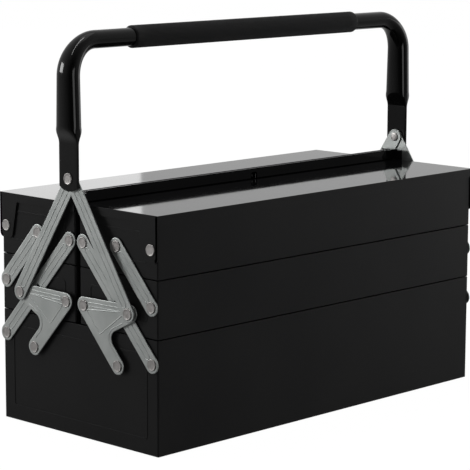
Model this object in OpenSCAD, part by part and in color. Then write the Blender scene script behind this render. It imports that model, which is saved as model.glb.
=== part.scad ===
// Cantilever tool box: a deep base, two middle trays and two lidded upper trays
// that spread apart on parallel links, with a carrying handle that works them.
// Millimetres. The origin is on the floor under the middle of the closed box.
// X runs along the box, Y across it and Z up. The front is the -Y side.

/* [Case] */
// Outside length of the base and of every tray
case_l = 420; // [360:10:520]
// Outside depth of the closed box
case_w = 200; // [190:2:220]
// Height of the base from its floor to its rim
base_h = 100.6; // [96:0.2:130]
// Height of a middle tray
middle_h = 50.4; // [46:0.2:56]
// Height of an upper tray
upper_h = 52.8; // [50:0.2:60]
// Thickness of the steel sheet
sheet_t = 1; // [0.8:0.05:1.1]
// Radius of the bend between a floor and its walls
floor_r = 1.5; // [1.3:0.1:4]
// Radius of the upright corners
corner_r = 1.6; // [1.3:0.1:2]
// Gap between a rim and the tray above it
seam_gap = 0.4; // [0.3:0.1:1]
// Gap between the two trays that stand side by side
centre_gap = 5.6; // [4:0.2:8]

/* [Rims and beads] */
// Depth of the hem folded inside every rim
hem_h = 7; // [4:0.5:10]
// Thickness that the hem adds inside the wall
hem_t = 0.8; // [0.5:0.1:1.2]
// Distance of the pressed bead from the edges of an end wall
bead_in = 13; // [10:0.5:16]
// Width of the pressed bead
bead_w = 1.5; // [1:0.1:2.5]
// Height of the pressed bead above the end wall
bead_h = 0.4; // [0.2:0.05:0.6]
// Corner radius of the pressed bead
bead_r = 4; // [3:0.5:6]

/* [Lids] */
// Height of the lid's underside above the upper tray's rim
lid_gap = 1.4; // [1.2:0.1:2]
// Gap between the two lids along the middle
lid_split = 4; // [1:0.2:6]
// Height of the upturned flange along a lid's inner edge
flange_h = 10; // [8:0.2:12]
// Length of the tab folded across each end of the flange
flange_tab = 11; // [8:0.5:14]
// Depth of the down-turned skirt along a lid's outer edge and ends
skirt_h = 7.5; // [5:0.5:9]
// Gap between the skirt and the long wall
skirt_gap = 0.35; // [0.3:0.05:0.5]
// Distance of the lid pivot from the long wall
lid_pivot_in = 7.1; // [6.6:0.1:8]
// Depth of the lid pivot below the lid's top
lid_pivot_drop = 29.5; // [28.5:0.5:32]
// Depth of a lid ear below the lid's top
ear_drop = 40.5; // [39:0.5:44]
// Width of a lid ear at its foot
ear_w = 17; // [16:0.5:20]
// Corner radius of a lid ear
ear_r = 5; // [4:0.5:6]
// Slope of the ear's inner edge from upright
ear_slope = 11.8; // [5:0.2:15]
// Width of the padlock slot
slot_w = 5.6; // [5:0.2:8]
// Height of the padlock slot
slot_h = 5.2; // [4.8:0.2:5.6]
// Corner radius of the padlock slot
slot_r = 1.2; // [0.8:0.1:2]
// Height of the padlock slot's lower edge above the lid
slot_lift = 0.3; // [0.2:0.1:1]
// Distance of the padlock slot from mid-length
slot_x = 8; // [0:1:20]

/* [Links] */
// Width of the links, the spreader plates and the arms
link_w = 15; // [13:0.5:16]
// Thickness of the links, the spreader plates and the arms
link_t = 1; // [0.9:0.05:1.3]
// Distance of the foot pivot from the long wall
foot_in = 6; // [5.6:0.1:7]
// Depth of the foot pivot below the base's rim
foot_drop = 20.9; // [18:0.1:24]
// How much less a link rises than one tray
link_lag = 3.8; // [3:0.1:5]
// Width of tray that rests over the rim below when the box is open
rim_rest = 11.8; // [10:0.2:14]
// Height of the short link's foot pivot above the long link's middle pivot
short_rise = 1.9; // [1:0.1:3]
// Distance of the short link's foot pivot outward from the long link's middle pivot
short_out = 42; // [40:0.1:42.5]
// Running clearance between a flat piece and the next one beside it
side_gap = 0.3; // [0.3:0.05:0.4]
// Gap between a flat piece and its own rivet's head or collar
rivet_gap = 0.1; // [0.05:0.01:0.12]

/* [Spreader plates and arms] */
// Distance of the plate's foot pivot inward from the long link's foot pivot
plate_in = 40; // [36:0.5:44]
// Depth of the plate's foot pivot below the long link's foot pivot
plate_drop = 7.1; // [5:0.1:9]
// Distance of the arm's pivot outward from the plate's foot pivot
lobe_out = 16.4; // [14:0.1:19]
// Height of the arm's pivot above the plate's foot pivot
lobe_rise = 48; // [46:0.1:52]
// Distance of the notch's corner up the leg from the plate's foot pivot
notch_up = 27.3; // [24:0.1:31]
// Radius of the notch between the plate's leg and its arm lobe
notch_r = 8; // [6:0.5:9]
// Height of the handle's pivot above the lids
apex_rise = 22; // [19:0.5:28]

/* [Rivets] */
// Radius of the rivet shanks
pin_r = 2.5; // [2:0.1:3]
// Radius of the rivet heads
head_r = 5.1; // [4.4:0.1:5.6]
// Height of the rivet heads
head_h = 0.75; // [0.6:0.05:0.9]
// Radius of the collar that spaces a rivet's pieces
collar_r = 4.2; // [3.6:0.1:4.3]
// Height of the tail that holds a rivet inside the wall
tail_h = 0.7; // [0.5:0.05:1]
// Height of the head on the handle's rivet
apex_head_h = 1.2; // [0.9:0.05:1.6]
// Radial clearance of a moving bore on its shank
pin_play = 0.06; // [0.03:0.01:0.1]
// Radial clearance of a shank that is fixed in its hole
pin_seat = 0.02; // [0.01:0.01:0.03]
// Radius of the flush rivet in the long link's middle
flush_r = 3.4; // [3:0.1:4]

/* [Handle] */
// Height of the bar's axis above the handle's pivot
handle_rise = 117.7; // [100:0.2:140]
// Diameter of the round tube
tube_d = 16; // [13:0.5:18]
// Width of a leg across the box where it meets its bend
leg_w = 22.5; // [20:0.5:25]
// Width of a leg just above its flat part
flare_w = 25; // [22:0.5:28]
// Squareness of a leg's section: 2 is an ellipse and more is boxier
leg_square = 2.3; // [2:0.1:4]
// Width of the flattened foot
foot_w = 24; // [22:0.5:26]
// Thickness of the flattened foot
foot_t = 2.2; // [2:0.1:3]
// Radius of the shallow arc that ends the foot
foot_end_r = 20; // [16:1:26]
// Length of the foot below the pivot
foot_below = 11; // [10:0.5:14]
// Length of the flat part above the pivot
flat_above = 30; // [24:1:36]
// Length over which the flat part opens out into the leg
opening_l = 16; // [12:1:40]
// Radius of the handle's bends on the tube's axis
bend_r = 30; // [24:1:40]
// Length of the grip
grip_l = 292; // [200:2:320]
// Diameter of the grip
grip_d = 20; // [18:0.5:24]
// Radius that rounds the grip's ends
grip_round = 1.5; // [0.5:0.1:2]

/* [Hidden] */
$fn = 64;
eps = 0.01;
// How far a cutting shape runs past what it cuts
over = 1;

paint = [0.13, 0.13, 0.135];
lid_paint = [0.17, 0.17, 0.175];
zinc = [0.74, 0.75, 0.74];
rivet_steel = [0.82, 0.80, 0.79];
handle_paint = [0.07, 0.07, 0.07];
grip_foam = [0.2, 0.2, 0.2];

// Heights of the floors and rims
middle_z = base_h + seam_gap;
upper_z = middle_z + middle_h + seam_gap;
rim_z = upper_z + upper_h;
lid_z = rim_z + lid_gap;
top_z = lid_z + sheet_t;

// Sizes across the box
end_x = case_l / 2;
side_y = case_w / 2;
tray_w = side_y - centre_gap / 2;
tray_y = centre_gap / 2 + tray_w / 2;
outer_y = side_y + skirt_gap + sheet_t;
inner_y = lid_split / 2;

// Reach and rise of one link pitch, from one pivot to the next
link_y = (tray_w - rim_rest) / 2;
link_z = middle_h + seam_gap - link_lag;
link_l = norm([link_y, link_z]);
link_lean = atan(link_y / link_z);
pitch = [-link_y, link_z];

// Pivots of the back side, as [y, z]; the front side mirrors them
foot_at = [side_y - foot_in, base_h - foot_drop];
mid_at = foot_at + pitch;
crown_at = mid_at + pitch;
short_foot_at = mid_at + [short_out, short_rise];
short_crown_at = short_foot_at + pitch;
plate_foot_at = foot_at - [plate_in, plate_drop];
plate_crown_at = plate_foot_at + pitch;
plate_lobe_at = plate_foot_at + [lobe_out, lobe_rise];
apex_at = [0, top_z + apex_rise];
lid_pivot_at = [side_y - lid_pivot_in, top_z - lid_pivot_drop];

// Layers outward from the end walls: where each flat piece begins and ends
ear_d = bead_h + side_gap;
link_d = bead_h + side_gap;
link_out = link_d + link_t;
plate_d = link_out + rivet_gap + head_h + side_gap;
plate_out = plate_d + link_t;
// the arms pass over the heads of the plate's rivets while the box opens
back_arm_d = plate_out + rivet_gap + head_h + side_gap;
back_arm_out = back_arm_d + link_t;
front_arm_d = back_arm_out + side_gap;
front_arm_out = front_arm_d + link_t;
foot_d = front_arm_out + side_gap;
foot_out = foot_d + foot_t;
lid_l = case_l + 2 * ear_d;

// ---- helpers ----

// Puts a right-hand, back-side shape at one end (1 right, -1 left) and side (1 back, -1 front)
module placed(end, side) {
    mirror([end < 0 ? 1 : 0, 0, 0])
    mirror([0, side < 0 ? 1 : 0, 0])
    children();
}

// A flat piece drawn as [y, z], d mm outside the end wall and t thick
module flat_piece(d, t) {
    translate([end_x + d, 0, 0])
    rotate([90, 0, 90])
    linear_extrude(t)
    children();
}

// A rectangle with rounded corners, centred
module rounded_rect(l, w, r) {
    square([l, w - 2 * r], center = true);
    square([l - 2 * r, w], center = true);
    for (i = [-1, 1], j = [-1, 1])
        translate([i * (l / 2 - r), j * (w / 2 - r)])
        circle(r);
}

// A tray's section: square at the rim, with rounded lower corners
module tray_section(w, h, r) {
    translate([-w / 2, r])
    square([w, h - r]);
    translate([r - w / 2, 0])
    square([w - 2 * r, r + eps]);
    for (i = [-1, 1])
        translate([i * (w / 2 - r), r])
        circle(r);
}

// A block with rounded floor edges and rounded upright corners, standing on z = 0
module tray_block(l, w, h, r, rc) {
    intersection() {
        rotate([90, 0, 90])
        linear_extrude(l + 2 * over, center = true)
        tray_section(w, h, r);
        rotate([90, 0, 0])
        linear_extrude(w + 2 * over, center = true)
        tray_section(l, h, r);
        linear_extrude(h)
        rounded_rect(l, w, rc);
    }
}

// An open tray with a hem folded inside its rim
module tray_shell(w, h) {
    hem = sheet_t + hem_t;
    difference() {
        tray_block(case_l, w, h, floor_r, corner_r);
        translate([0, 0, sheet_t])
        tray_block(case_l - 2 * sheet_t, w - 2 * sheet_t, h - sheet_t - hem_h,
            floor_r - sheet_t, corner_r - sheet_t);
        translate([0, 0, h - hem_h - over])
        linear_extrude(hem_h + 2 * over)
        square([case_l - 2 * hem, w - 2 * hem], center = true);
    }
}

// The raised line pressed into both end walls, w wide and h high overall
module end_beads(w, h) {
    for (end = [-1, 1])
        placed(end, 1)
        flat_piece(-sheet_t / 2, sheet_t / 2 + bead_h)
        translate([0, h / 2])
        difference() {
            rounded_rect(w - 2 * bead_in, h - 2 * bead_in, bead_r);
            rounded_rect(w - 2 * bead_in - 2 * bead_w, h - 2 * bead_in - 2 * bead_w,
                bead_r - bead_w);
        }
}

// Holes through both end walls for rivets fixed at the given [y, z] places
module rivet_holes(places, r) {
    for (end = [-1, 1], at = places)
        placed(end, 1)
        translate([end_x - 2 * sheet_t, at[0], at[1]])
        rotate([0, 90, 0])
        cylinder(r = r + pin_seat, h = 4 * sheet_t);
}

// A round disc or shank on the given pivot, from d to d + h outside the end wall
module pin(at, d, h, r) {
    translate([end_x + d, at[0], at[1]])
    rotate([0, 90, 0])
    cylinder(r = r, h = h);
}

// A low dome of base radius r and height h, d mm outside the end wall
module dome(at, d, r, h) {
    ball = (r * r + h * h) / (2 * h);
    translate([end_x + d, at[0], at[1]])
    rotate([0, 90, 0])
    rotate_extrude()
    intersection() {
        translate([0, h - ball])
        circle(ball, $fn = 256);
        square([r, h]);
    }
}

// A rivet through the end wall that carries a flat piece from d to d + t outside it
module wall_rivet(at, d, t) {
    pin(at, -sheet_t - tail_h, tail_h, collar_r);
    pin(at, -sheet_t - tail_h, d + t + rivet_gap + sheet_t + tail_h + eps, pin_r);
    pin(at, 0, d - rivet_gap, collar_r);
    dome(at, d + t + rivet_gap, head_r, head_h);
}

// A flush rivet: a thicker pin that ends level with the piece it carries
module flush_rivet(at) {
    pin(at, -sheet_t - tail_h, tail_h, collar_r);
    pin(at, -sheet_t - tail_h, sheet_t + tail_h + eps, pin_r);
    pin(at, 0, link_d - rivet_gap, collar_r);
    pin(at, 0, link_out, flush_r);
}

// A bar with round ends between two pivots
module bar(a, b, w) {
    run = b - a;
    translate(a)
    rotate(atan2(run[1], run[0])) {
        translate([0, -w / 2])
        square([norm(run), w]);
        circle(w / 2);
        translate([norm(run), 0])
        rotate(180)
        circle(w / 2);
    }
}

// A moving bore on a pivot, drawn as a hole in a flat piece
module bore(at, r) {
    translate(at)
    circle(r + pin_play);
}

// ---- base and trays ----

module base_tray() {
    color(paint)
    difference() {
        union() {
            tray_shell(case_w, base_h);
            end_beads(case_w, base_h);
        }
        rivet_holes([foot_at, plate_foot_at], pin_r);
        mirror([0, 1, 0])
        rivet_holes([foot_at, plate_foot_at], pin_r);
    }
}

module tray(floor_z, h, places) {
    difference() {
        translate([0, tray_y, floor_z]) {
            tray_shell(tray_w, h);
            end_beads(tray_w, h);
        }
        rivet_holes(places, pin_r);
    }
}

module middle_tray() {
    color(paint)
    tray(middle_z, middle_h, [mid_at, short_foot_at, plate_crown_at]);
}

// An upper tray is one folded sheet, in two nodes that meet face to face
module upper_sheet() {
    tray(upper_z, upper_h, [crown_at, short_crown_at, lid_pivot_at]);
}

// The space that the thickness of the upper tray's floor takes
module floor_layer() {
    translate([-end_x - over, 0, upper_z - over])
    cube([case_l + 2 * over, side_y + over, sheet_t + over]);
}

module upper_tray() {
    color(paint)
    difference() {
        upper_sheet();
        floor_layer();
    }
}

module upper_floor() {
    color(paint)
    intersection() {
        translate([0, tray_y, upper_z])
        tray_block(case_l, tray_w, upper_h, floor_r, corner_r);
        floor_layer();
    }
}

// ---- lids ----

// Each lid is one folded sheet, in three nodes that meet face to face
module lid_panel() {
    color(lid_paint)
    translate([-lid_l / 2, inner_y, lid_z])
    cube([lid_l, outer_y - inner_y, sheet_t]);
}

// The upturned flange along the inner edge, with the padlock slot
module lid_flange() {
    color(lid_paint)
    difference() {
        translate([-lid_l / 2, inner_y, top_z])
        cube([lid_l, sheet_t, flange_h]);
        translate([slot_x, inner_y + sheet_t / 2, top_z + slot_lift + slot_h / 2])
        rotate([90, 0, 0])
        linear_extrude(sheet_t + 2 * over, center = true)
        rounded_rect(slot_w, slot_h, slot_r);
    }
}

// The ear's outline with its pivot hole, as [y, z]
module ear_outline() {
    ear_z = top_z - ear_drop;
    outer_c = [outer_y - ear_r, ear_z + ear_r];
    inner_c = [outer_y - ear_w + ear_r, ear_z + ear_r];
    tangent = inner_c - ear_r * [cos(ear_slope), sin(ear_slope)];
    rise = top_z - tangent[1];
    difference() {
        union() {
            polygon([inner_c, outer_c, [outer_y, outer_c[1]], [outer_y, top_z],
                [tangent[0] - rise * tan(ear_slope), top_z], tangent]);
            polygon([[outer_c[0], ear_z], outer_c, inner_c, [inner_c[0], ear_z]]);
            translate(outer_c)
            circle(ear_r);
            translate(inner_c)
            circle(ear_r);
        }
        bore(lid_pivot_at, pin_r);
    }
}

// The skirt along the outer edge, and the two ends with their ears and the flange's tabs
module lid_skirt() {
    foot_z = top_z - skirt_h;
    color(lid_paint) {
        translate([-lid_l / 2, outer_y - sheet_t, foot_z])
        cube([lid_l, sheet_t, lid_z - foot_z]);
        for (end = [-1, 1])
            placed(end, 1)
            flat_piece(ear_d, sheet_t) {
                translate([inner_y, foot_z])
                square([outer_y - inner_y, skirt_h]);
                translate([inner_y, foot_z])
                square([flange_tab, skirt_h + flange_h]);
                ear_outline();
            }
    }
}

// ---- links, spreader plates and arms ----

module long_link() {
    color(zinc)
    flat_piece(link_d, link_t)
    difference() {
        bar(foot_at, crown_at, link_w);
        bore(foot_at, pin_r);
        bore(mid_at, flush_r);
        bore(crown_at, pin_r);
    }
}

module short_link() {
    color(zinc)
    flat_piece(link_d, link_t)
    difference() {
        bar(short_foot_at, short_crown_at, link_w);
        bore(short_foot_at, pin_r);
        bore(short_crown_at, pin_r);
    }
}

// Three-pivot plate: a leg from foot to crown, a lobe for the arm and a rounded notch
module plate() {
    half = link_w / 2;
    // direction down the leg, and the outward normal of its outer edge
    leg_dir = [sin(link_lean), -cos(link_lean)];
    leg_out = [cos(link_lean), sin(link_lean)];
    // the notch's corner lies on the leg's outer edge
    corner = plate_foot_at + half * leg_out - notch_up * leg_dir;
    run = plate_lobe_at - corner;
    lobe_dir = atan2(run[1], run[0]) - asin(half / norm(run));
    edge = norm(run) * cos(asin(half / norm(run)));
    // direction from the corner along the lobe's lower edge, and that edge's outward normal
    edge_dir = [cos(lobe_dir), sin(lobe_dir)];
    edge_out = [edge_dir[1], -edge_dir[0]];
    angle = acos(leg_dir * edge_dir);
    reach = notch_r / tan(angle / 2);
    centre = corner + notch_r / sin(angle / 2) * (leg_dir + edge_dir) / norm(leg_dir + edge_dir);
    leg_end = corner + reach * leg_dir;
    edge_end = corner + reach * edge_dir;
    color(zinc)
    flat_piece(plate_d, link_t)
    difference() {
        union() {
            bar(plate_foot_at, plate_crown_at, link_w);
            bar(plate_crown_at, plate_lobe_at, link_w);
            polygon([corner - half * edge_dir, corner + edge * edge_dir,
                plate_lobe_at - half * edge_dir, plate_crown_at + half * leg_dir]);
            // the notch's fillet, rooted in the leg and in the lobe
            difference() {
                polygon([leg_end - leg_out, edge_end - edge_out, corner - leg_out - edge_out]);
                translate(centre)
                circle(notch_r);
            }
        }
        bore(plate_foot_at, pin_r);
        bore(plate_crown_at, pin_r);
    }
}

module arm(d) {
    color(zinc)
    flat_piece(d, link_t)
    difference() {
        bar(plate_lobe_at, apex_at, link_w);
        translate(plate_lobe_at)
        circle(pin_r + pin_seat);
        bore(apex_at, pin_r);
    }
}

// ---- rivets ----

module base_rivets(end) {
    color(rivet_steel)
    for (side = [-1, 1])
        placed(end, side) {
            wall_rivet(foot_at, link_d, link_t);
            wall_rivet(plate_foot_at, plate_d, link_t);
        }
}

module middle_rivets() {
    color(rivet_steel)
    for (end = [-1, 1])
        placed(end, 1) {
            flush_rivet(mid_at);
            wall_rivet(short_foot_at, link_d, link_t);
            wall_rivet(plate_crown_at, plate_d, link_t);
        }
}

module upper_rivets() {
    color(rivet_steel)
    for (end = [-1, 1])
        placed(end, 1) {
            wall_rivet(crown_at, link_d, link_t);
            wall_rivet(short_crown_at, link_d, link_t);
        }
}

module lid_pivots() {
    color(rivet_steel)
    for (end = [-1, 1])
        placed(end, 1)
        wall_rivet(lid_pivot_at, ear_d, sheet_t);
}

// Rivet in an arm's foot, with a collar that fills the layers between the plate and the arm
module arm_rivets(d) {
    color(rivet_steel)
    for (end = [-1, 1])
        placed(end, 1) {
            pin(plate_lobe_at, plate_out + side_gap, d - plate_out - side_gap, collar_r);
            pin(plate_lobe_at, d - eps, link_t + 2 * eps, pin_r);
            dome(plate_lobe_at, d + link_t, head_r, head_h);
        }
}

// Rivet that joins both arms and the handle's foot
module handle_rivets() {
    color(rivet_steel)
    for (end = [-1, 1])
        placed(end, 1) {
            pin(apex_at, back_arm_d - rivet_gap - tail_h, tail_h, collar_r);
            pin(apex_at, back_arm_d - rivet_gap - tail_h,
                foot_out - back_arm_d + 2 * rivet_gap + tail_h + eps, pin_r);
            dome(apex_at, foot_out + rivet_gap, head_r, apex_head_h);
        }
}

// ---- handle ----

foot_mid_x = end_x + foot_d + foot_t / 2;
bar_z = apex_at[1] + handle_rise;
foot_z = apex_at[1] - foot_below;
flat_z = apex_at[1] + flat_above;
leg_z = bar_z - bend_r;
arc_rise = foot_end_r - sqrt(pow(foot_end_r, 2) - pow(foot_w / 2, 2));
SIDES = 24;
FLAT = 8;
ROUND = 2;

// Each station is [x, z, heading, half thickness, half width, squareness]
function leg_station(z, t, w, n) = [foot_mid_x, z, 90, t / 2, w / 2, n];
// The foot widens along its arc, the stations closest where it curves most
function foot_stations(steps) = [
    for (i = [1 : steps])
        let (rise = arc_rise * i * i / (steps * steps))
        leg_station(foot_z + rise, foot_t,
            2 * sqrt(pow(foot_end_r, 2) - pow(foot_end_r - rise, 2)), FLAT)
];
// The flat part opens out smoothly into the leg
function opening_stations(steps) = [
    for (i = [0 : steps])
        let (s = i / steps, k = s * s * (3 - 2 * s))
        leg_station(flat_z + s * opening_l, foot_t + k * (tube_d - foot_t),
            foot_w + k * (flare_w - foot_w), FLAT + k * (leg_square - FLAT))
];
// The leg turns from upright to level and becomes the round tube
function bend_stations(steps) = [
    for (i = [0 : steps])
        let (a = 90 * i / steps, k = pow(sin(a), 2))
        [foot_mid_x - bend_r + bend_r * cos(a), leg_z + bend_r * sin(a), 90 + a, tube_d / 2,
            (leg_w + k * (tube_d - leg_w)) / 2, leg_square + k * (ROUND - leg_square)]
];
half_handle = concat(foot_stations(5), opening_stations(9), bend_stations(10));
count = len(half_handle);
// The left half is the right half mirrored and taken in reverse
stations = concat(half_handle, [
    for (i = [count - 1 : -1 : 0])
        let (s = half_handle[i])
        [-s[0], s[1], 360 - s[2], s[3], s[4], s[5]]
]);

// A point of a station's section: a rounded rectangle that squares up as n grows
function signed_pow(v, p) = sign(v) * pow(abs(v), p);
function section_point(s, k) =
    let (a = 360 * k / SIDES, across = s[3] * signed_pow(cos(a), 2 / s[5]),
        wide = s[4] * signed_pow(sin(a), 2 / s[5]))
    [s[0] + across * sin(s[2]), wide, s[1] - across * cos(s[2])];

module handle_sweep() {
    n = len(stations);
    points = [for (s = stations) for (k = [0 : SIDES - 1]) section_point(s, k)];
    sides = [
        for (i = [0 : n - 2]) for (k = [0 : SIDES - 1])
            let (k2 = (k + 1) % SIDES)
            each [
                [i * SIDES + k, (i + 1) * SIDES + k, (i + 1) * SIDES + k2],
                [i * SIDES + k, (i + 1) * SIDES + k2, i * SIDES + k2]
            ]
    ];
    first_cap = [[for (k = [0 : SIDES - 1]) k]];
    last_cap = [[for (k = [SIDES - 1 : -1 : 0]) (n - 1) * SIDES + k]];
    polyhedron(points, concat(sides, first_cap, last_cap), convexity = 4);
}

module handle_tube() {
    color(handle_paint)
    difference() {
        handle_sweep();
        for (end = [-1, 1])
            placed(end, 1)
            pin(apex_at, foot_d - over, foot_t + 2 * over, pin_r + pin_play);
    }
}

module handle_grip() {
    r = grip_d / 2;
    half = grip_l / 2;
    color(grip_foam)
    translate([0, 0, bar_z])
    rotate([0, 90, 0])
    rotate_extrude()
    difference() {
        union() {
            translate([0, grip_round - half])
            square([r, grip_l - 2 * grip_round]);
            translate([0, -half])
            square([r - grip_round, grip_l]);
            for (i = [-1, 1])
                translate([r - grip_round, i * (half - grip_round)])
                circle(grip_round);
        }
        translate([0, -half - over])
        square([tube_d / 2 + pin_seat, grip_l + 2 * over]);
    }
}

base_tray();
base_rivets(-1);  // left_base_rivets
base_rivets(1);  // right_base_rivets
placed(1, -1) middle_tray();  // front_middle_tray
placed(1, 1) middle_tray();  // back_middle_tray
placed(1, -1) middle_rivets();  // front_middle_rivets
placed(1, 1) middle_rivets();  // back_middle_rivets
placed(1, -1) upper_tray();  // front_upper_tray
placed(1, 1) upper_tray();  // back_upper_tray
placed(1, -1) upper_floor();  // front_upper_floor
placed(1, 1) upper_floor();  // back_upper_floor
placed(1, -1) upper_rivets();  // front_upper_rivets
placed(1, 1) upper_rivets();  // back_upper_rivets
placed(1, -1) lid_panel();  // front_lid_panel
placed(1, 1) lid_panel();  // back_lid_panel
placed(1, -1) lid_flange();  // front_lid_flange
placed(1, 1) lid_flange();  // back_lid_flange
placed(1, -1) lid_skirt();  // front_lid_skirt
placed(1, 1) lid_skirt();  // back_lid_skirt
placed(1, -1) lid_pivots();  // front_lid_pivots
placed(1, 1) lid_pivots();  // back_lid_pivots
placed(-1, -1) long_link();  // left_front_long_link
placed(1, -1) long_link();  // right_front_long_link
placed(-1, 1) long_link();  // left_back_long_link
placed(1, 1) long_link();  // right_back_long_link
placed(-1, -1) short_link();  // left_front_short_link
placed(1, -1) short_link();  // right_front_short_link
placed(-1, 1) short_link();  // left_back_short_link
placed(1, 1) short_link();  // right_back_short_link
placed(-1, -1) plate();  // left_front_plate
placed(1, -1) plate();  // right_front_plate
placed(-1, 1) plate();  // left_back_plate
placed(1, 1) plate();  // right_back_plate
placed(-1, -1) arm(front_arm_d);  // left_front_arm
placed(1, -1) arm(front_arm_d);  // right_front_arm
placed(-1, 1) arm(back_arm_d);  // left_back_arm
placed(1, 1) arm(back_arm_d);  // right_back_arm
placed(1, -1) arm_rivets(front_arm_d);  // front_arm_rivets
placed(1, 1) arm_rivets(back_arm_d);  // back_arm_rivets
handle_rivets();
handle_tube();
handle_grip();
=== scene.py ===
"""Steel cantilever tool box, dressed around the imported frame.

Flat pressed links, spreader plates and arms, set rivets, the swept handle and its ribbed grip are
worked out with numpy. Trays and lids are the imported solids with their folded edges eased.
"""
import math

import bmesh
import bpy
import numpy as np
from mathutils import Matrix, Vector


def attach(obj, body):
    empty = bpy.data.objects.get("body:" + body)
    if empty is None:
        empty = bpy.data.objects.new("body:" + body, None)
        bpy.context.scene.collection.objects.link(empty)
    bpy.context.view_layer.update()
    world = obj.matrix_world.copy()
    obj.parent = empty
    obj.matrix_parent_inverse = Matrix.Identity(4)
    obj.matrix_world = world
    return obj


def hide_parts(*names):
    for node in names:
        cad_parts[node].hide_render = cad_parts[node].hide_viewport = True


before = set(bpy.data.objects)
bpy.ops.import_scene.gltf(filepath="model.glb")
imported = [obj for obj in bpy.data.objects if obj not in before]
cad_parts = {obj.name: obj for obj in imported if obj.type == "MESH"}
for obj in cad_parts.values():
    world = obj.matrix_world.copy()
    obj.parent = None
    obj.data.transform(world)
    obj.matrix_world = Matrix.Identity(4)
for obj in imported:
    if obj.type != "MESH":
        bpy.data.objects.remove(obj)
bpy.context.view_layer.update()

bl_info = {
    "name": "Cantilever tool box",
    "version": (1, 0, 0),
    "blender": (4, 5, 0),
    "location": "View3D > Sidebar > Tool box",
    "description": "Builds the visible pieces of a cantilever tool box around its packed frame",
    "category": "Object",
}

MM = 0.001
ENDS = {"left": -1, "right": 1}
SIDES = {"front": -1, "back": 1}

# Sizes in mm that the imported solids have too, on the right-hand end and the back side
END_X = 210.0
SHEET_T = 1.0
LINK_T = 1.0
LINK_HALF = 7.5
RIVET_GAP, SIDE_GAP = 0.1, 0.3
LINK_D, PLATE_D, FOOT_D = 0.7, 2.85, 7.6
ARM_D = {"front": 6.3, "back": 5.0}
FOOT_T = 2.2
PIN_R, COLLAR_R, TAIL_H, FLUSH_R = 2.5, 4.2, 0.7, 3.4

# Pivots as (y, z) in mm
PITCH = np.array([-42.7, 47.0])
FOOT = np.array([94.0, 79.7])
MIDDLE = FOOT + PITCH
CROWN = MIDDLE + PITCH
SHORT_FOOT = MIDDLE + np.array([42.0, 1.9])
SHORT_CROWN = SHORT_FOOT + PITCH
PLATE_FOOT = FOOT - np.array([40.0, 7.1])
PLATE_CROWN = PLATE_FOOT + PITCH
PLATE_LOBE = PLATE_FOOT + np.array([16.4, 48.0])
APEX = np.array([0.0, 229.0])
LID_PIVOT = np.array([92.9, 177.5])
NOTCH_UP, NOTCH_R = 27.3, 8.0

# The lids: height of their top, outer face of their skirt, and outer face of a flange
LID_TOP, OUTER_Y, FLANGE_Y = 207.0, 101.35, 3.0
SLOT_W, SLOT_H, SLOT_R, SLOT_LIFT, SLOT_X = 5.6, 5.2, 1.2, 0.3, 8.0
# The dark line beside each ear, painted shade of a slit that no mesh has: the foot and radius of its
# lower corner, its width, and how far it stands inside the fold, below the top and proud of the face
EAR_FOOT, EAR_R, SLIT_SHADE_W = 168.0, 3.0, 2.5
SLIT_SHADE_INSIDE, SLIT_SHADE_BELOW, SLIT_SHADE_PROUD = 0.15, 0.7, 0.04

# The plate's pressings, as offsets (y, z) from its pivots or lengths along its edges, and the
# radius of the triangle's corners
TRIANGLE_A, TRIANGLE_B, TRIANGLE_C = np.array([[6.6, -4.2], [-11.0, -1.8], [1.6, 0.8]])
TRIANGLE_DOWN, TRIANGLE_R = 29.0, 1.4
STRIP_A, STRIP_B, STRIP_R = np.array([7.6, 1.7]), np.array([-9.6, 1.7]), 1.6
NOTCH_LINE_OUT, NOTCH_LINE_DOWN, NOTCH_LINE_UP = 3.0, 9.0, 13.0
# Half width of the loop pressed along a link or an arm
LOOP_R = 2.6


# ---- small helpers ----

def linear(hex_colour, alpha=1.0):
    """sRGB hex to linear: a channel c becomes c / 12.92, or ((c + 0.055) / 1.055) ** 2.4 above 0.04."""
    c = np.array([int(hex_colour[i:i + 2], 16) for i in (1, 3, 5)]) / 255
    c = np.where(c <= 0.04045, c / 12.92, ((c + 0.055) / 1.055) ** 2.4)
    return (*map(float, c), alpha)


def add_node(tree, kind, links=None, **settings):
    """Adds a node, sets its properties or its input sockets, and links its inputs."""
    node = tree.nodes.new(kind)
    for key, value in settings.items():
        if hasattr(node, key) and key not in node.inputs:
            setattr(node, key, value)
        else:
            node.inputs[int(key[1:]) if key[0] == "_" else key.replace("_", " ")].default_value = value
    for socket, source in (links or {}).items():
        tree.links.new(source, node.inputs[socket])
    return node


def new_material(name):
    """An empty node material with a Principled shader joined to its output."""
    material = bpy.data.materials.new(name)
    material.use_nodes = True
    tree = material.node_tree
    tree.nodes.clear()
    shader = add_node(tree, "ShaderNodeBsdfPrincipled")
    add_node(tree, "ShaderNodeOutputMaterial", {"Surface": shader.outputs[0]})
    return material, tree, shader


def set_shader(shader, **values):
    """Sets constants on a shader's sockets, named with underscores for spaces."""
    for key, value in values.items():
        shader.inputs[key.replace("_", " ")].default_value = value


def mottle(tree, scale, stretch=(1, 1, 1), detail=4.0):
    """Noise in object space. scale is features per metre, stretch divides it along each axis."""
    where = add_node(tree, "ShaderNodeTexCoord")
    mapping = add_node(tree, "ShaderNodeMapping", {"Vector": where.outputs["Object"]}, Scale=stretch)
    return add_node(tree, "ShaderNodeTexNoise", {"Vector": mapping.outputs[0]},
                    Scale=scale, Detail=detail)


def spread(tree, source, low, high):
    """Maps a 0 to 1 value on to low to high."""
    node = add_node(tree, "ShaderNodeMapRange", {"Value": source})
    node.inputs["To Min"].default_value = low
    node.inputs["To Max"].default_value = high
    return node.outputs[0]


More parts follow.
